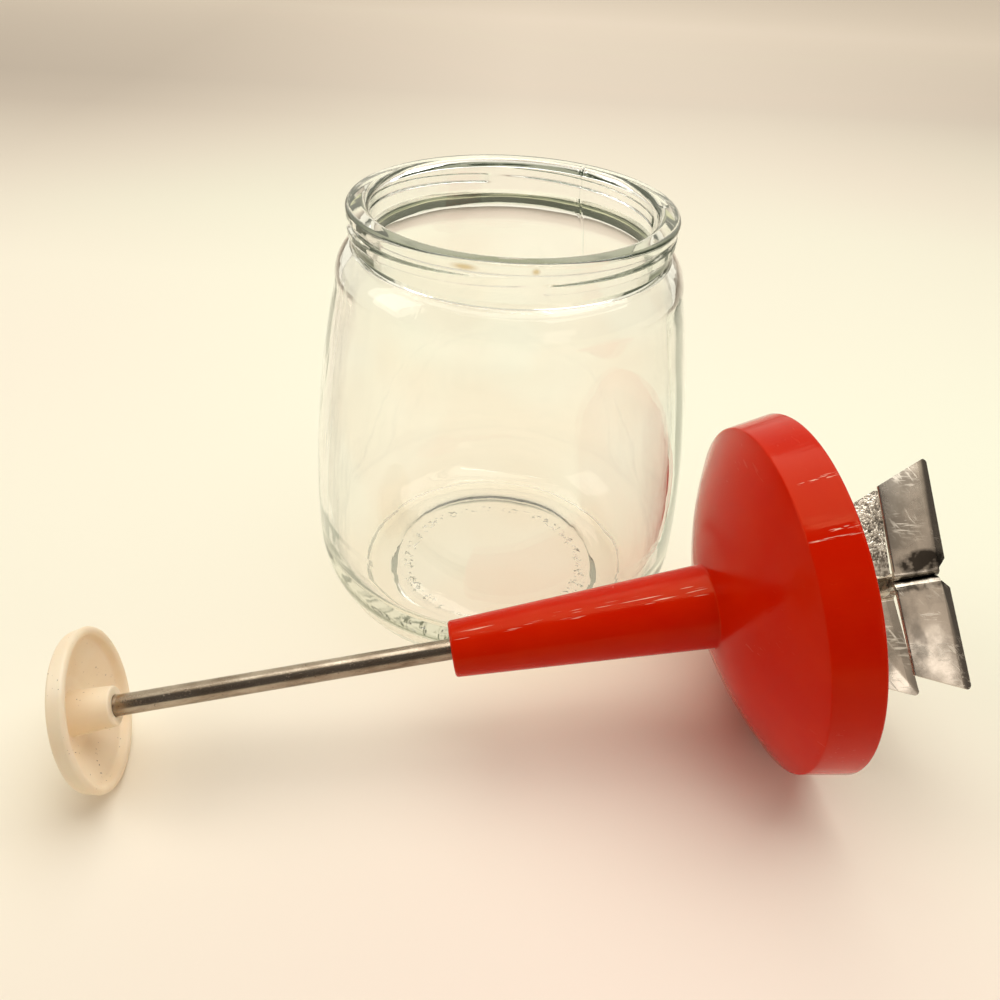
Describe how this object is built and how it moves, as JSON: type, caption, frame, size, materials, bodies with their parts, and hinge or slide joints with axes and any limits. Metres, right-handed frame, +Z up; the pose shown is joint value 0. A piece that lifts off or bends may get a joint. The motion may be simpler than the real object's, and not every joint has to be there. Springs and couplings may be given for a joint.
{
  "type": "plunger food chopper",
  "caption": "Hand food chopper: a glass jar with a screw-thread neck and, beside it, a lid with a long sleeve, a push rod, a dish-shaped knob and crossed channel blades.",
  "frame": {"origin": "centre of the jar's foot, on the table that the jar stands on", "axes": "+Z up along the jar's axis and out of its mouth; the head lies in front of the jar on the -Y side, its rod running along +X from the knob to the blades"},
  "size_m": [0.2077, 0.1508, 0.116],
  "materials": {
    "glass": "clear pressed glass with a faint green tint",
    "lid": "glossy orange-red moulded plastic",
    "guide": "pale moulded plastic",
    "gasket": "soft pale sealing material",
    "rod": "dulled steel rod",
    "knob": "cream moulded plastic",
    "blade": "worn stainless strip with a ground edge"
  },
  "bodies": {
    "jar": {"glass_jar": "glass"},
    "lid": {"lid_shell": "lid", "rod_guide": "guide", "lid_gasket": "gasket"},
    "washer": {"stop_washer": "gasket"},
    "plunger": {"plunger_rod": "rod", "knob": "knob", "upper_blade": "blade", "lower_blade": "blade", "blade_rivets": "blade"}
  },
  "joints": [
    {"name": "head_lift", "type": "slide", "parent": "jar", "child": "lid", "axis": [0, 0, 1], "range_m": [0, 0.2]},
    {"name": "plunger_stroke", "type": "slide", "parent": "lid", "child": "washer", "axis": [0.9752, 0.1702, 0.1418], "range_m": [0, 0.069]},
    {"name": "plunger_turn", "type": "hinge", "parent": "washer", "child": "plunger", "pos_m": [-0.0897, -0.0799, 0.01911], "axis": [0.9752, 0.1702, 0.1418], "continuous": true}
  ]
}
